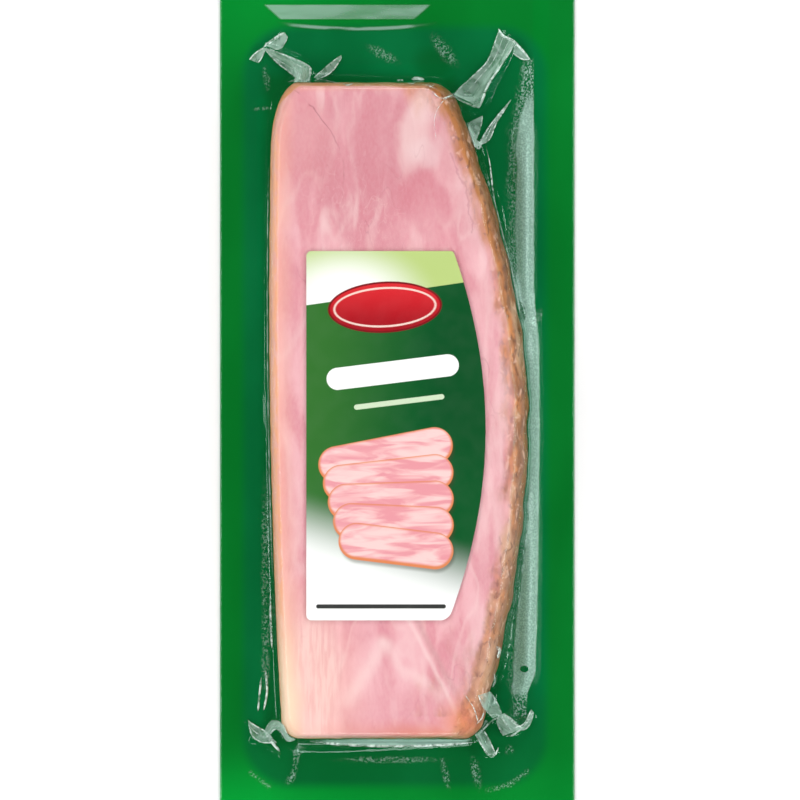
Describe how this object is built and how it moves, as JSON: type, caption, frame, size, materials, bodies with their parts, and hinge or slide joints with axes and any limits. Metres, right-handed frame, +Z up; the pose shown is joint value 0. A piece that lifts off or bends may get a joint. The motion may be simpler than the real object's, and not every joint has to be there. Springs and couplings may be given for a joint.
{
  "type": "bacon pack",
  "caption": "Vacuum-sealed pack of smoked bacon: a slab of bacon on a flat green backing film, under clear film with folded corners and a printed label.",
  "frame": {"origin": "centre of the underside of the backing film, on the surface that the pack lies on", "axes": "+Z up, out of the pack's front; +Y along its length to the end that is at the top in the picture; +X to the side where the bacon and the label are bowed"},
  "size_m": [0.11, 0.262, 0.0227],
  "materials": {
    "backing_film": "green printed packing film, glossy",
    "bacon_slab": "moist cooked bacon with a browned smoked rind",
    "clear_film": "clear glossy packing film",
    "label": "coated printed sticker, satin"
  },
  "bodies": {
    "root": {"backing_film": "backing_film", "bacon_slab": "bacon_slab", "clear_film": "clear_film", "label": "label"}
  },
  "joints": []
}
